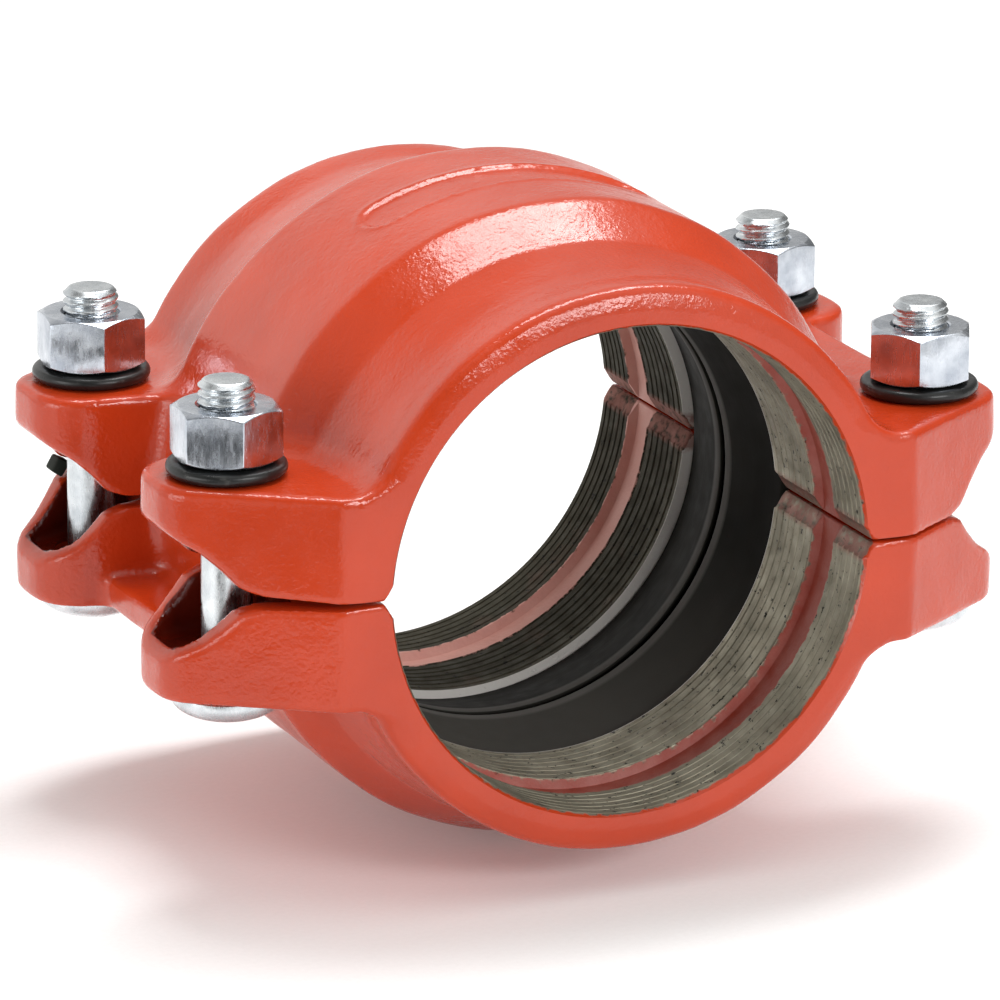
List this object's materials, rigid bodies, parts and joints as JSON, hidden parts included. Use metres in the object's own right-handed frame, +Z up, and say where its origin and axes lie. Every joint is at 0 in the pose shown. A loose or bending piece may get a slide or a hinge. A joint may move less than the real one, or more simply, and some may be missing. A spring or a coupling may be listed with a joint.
{
  "type": "pipe coupling",
  "caption": "Bolted two-half pipe coupling for plain-end pipe: cast housings with toothed gripping bands close round a rubber gasket, clamped by track bolts through side lugs.",
  "frame": {"origin": "centre of the bore, on the joint between the two halves, midway between the two end faces", "axes": "+Y along the pipe, +X across the bolts, +Z up from the bolt heads towards the nuts"},
  "size_m": [0.2048, 0.1412, 0.149],
  "materials": {
    "housing_enamel": "glossy orange-red enamel over cast iron, bare metal on the gripping bands",
    "gasket_rubber": "smooth black moulded rubber with a soft sheen",
    "spacer_rubber": "matt dark grey rubber",
    "bolt_zinc": "bright zinc plate",
    "nut_zinc": "bright zinc plate",
    "washer_black": "semi-gloss black coating"
  },
  "bodies": {
    "lower_assembly": {"lower_housing": "housing_enamel", "gasket": "gasket_rubber", "pad_spacer": "spacer_rubber", "front_left_bolt": "bolt_zinc", "front_right_bolt": "bolt_zinc", "rear_left_bolt": "bolt_zinc", "rear_right_bolt": "bolt_zinc"},
    "upper_assembly": {"upper_housing": "housing_enamel", "front_left_washer": "washer_black", "front_right_washer": "washer_black", "rear_left_washer": "washer_black", "rear_right_washer": "washer_black"},
    "front_left_nut_body": {"front_left_nut": "nut_zinc"},
    "front_right_nut_body": {"front_right_nut": "nut_zinc"},
    "rear_left_nut_body": {"rear_left_nut": "nut_zinc"},
    "rear_right_nut_body": {"rear_right_nut": "nut_zinc"}
  },
  "joints": [
    {"name": "upper_half_lift", "type": "slide", "parent": "lower_assembly", "child": "upper_assembly", "axis": [0, 0, 1], "range_m": [0, 0.00586]},
    {"name": "front_left_nut_turn", "type": "hinge", "parent": "upper_assembly", "child": "front_left_nut_body", "pos_m": [-0.0849, -0.0412, 0.0344], "axis": [0, 0, 1], "range_deg": [0, 1080]},
    {"name": "front_right_nut_turn", "type": "hinge", "parent": "upper_assembly", "child": "front_right_nut_body", "pos_m": [0.0849, -0.0412, 0.0344], "axis": [0, 0, 1], "range_deg": [0, 1080]},
    {"name": "rear_left_nut_turn", "type": "hinge", "parent": "upper_assembly", "child": "rear_left_nut_body", "pos_m": [-0.0849, 0.0412, 0.0344], "axis": [0, 0, 1], "range_deg": [0, 1080]},
    {"name": "rear_right_nut_turn", "type": "hinge", "parent": "upper_assembly", "child": "rear_right_nut_body", "pos_m": [0.0849, 0.0412, 0.0344], "axis": [0, 0, 1], "range_deg": [0, 1080]}
  ],
  "couplings": [
    {"joint": "front_left_nut_turn", "follows": "upper_half_lift", "rad_per_m": 3215.8},
    {"joint": "front_right_nut_turn", "follows": "upper_half_lift", "rad_per_m": 3215.8},
    {"joint": "rear_left_nut_turn", "follows": "upper_half_lift", "rad_per_m": 3215.8},
    {"joint": "rear_right_nut_turn", "follows": "upper_half_lift", "rad_per_m": 3215.8}
  ]
}
